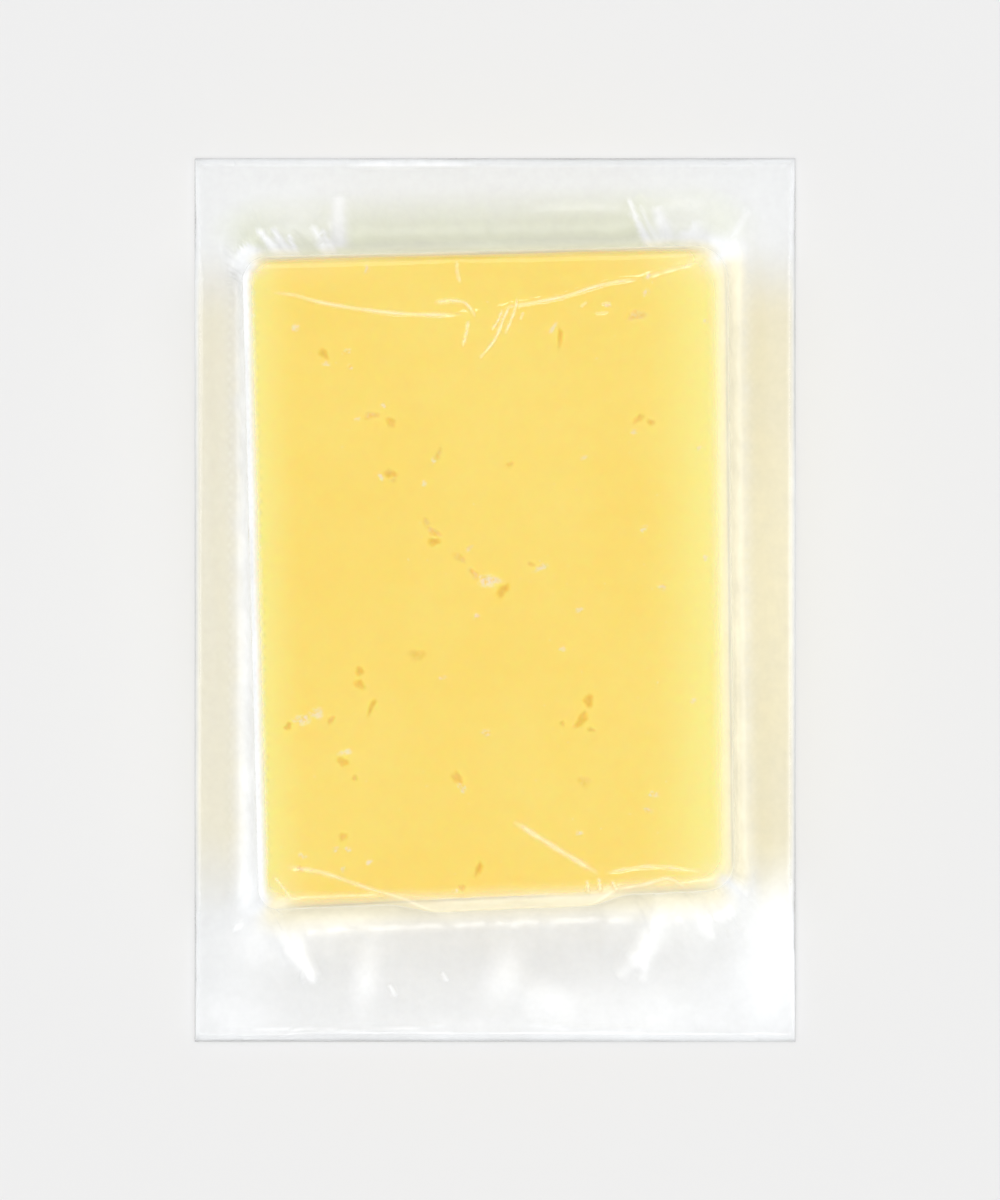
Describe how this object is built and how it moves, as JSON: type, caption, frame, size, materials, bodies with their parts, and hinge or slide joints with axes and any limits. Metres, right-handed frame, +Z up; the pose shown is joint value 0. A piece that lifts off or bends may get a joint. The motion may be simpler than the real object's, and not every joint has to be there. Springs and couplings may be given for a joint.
{
  "type": "vacuum-packed cheese slab",
  "caption": "Rectangular slab of pale yellow semi-hard cheese with small irregular eyes, vacuum packed in a clear flat-backed pouch with a wide sealed flange.",
  "frame": {"origin": "middle of the pouch's outline, on the plane that the pouch lies on", "axes": "+Z up out of the pack's face, +Y along the pouch towards its narrower end seal, +X to the right seen from above"},
  "size_m": [0.136, 0.2, 0.026],
  "materials": {
    "cheese": "smooth, slightly moist cut face",
    "film": "clear and glossy"
  },
  "bodies": {
    "root": {"cheese_slab": "cheese", "front_film": "film", "back_film": "film"}
  },
  "joints": []
}
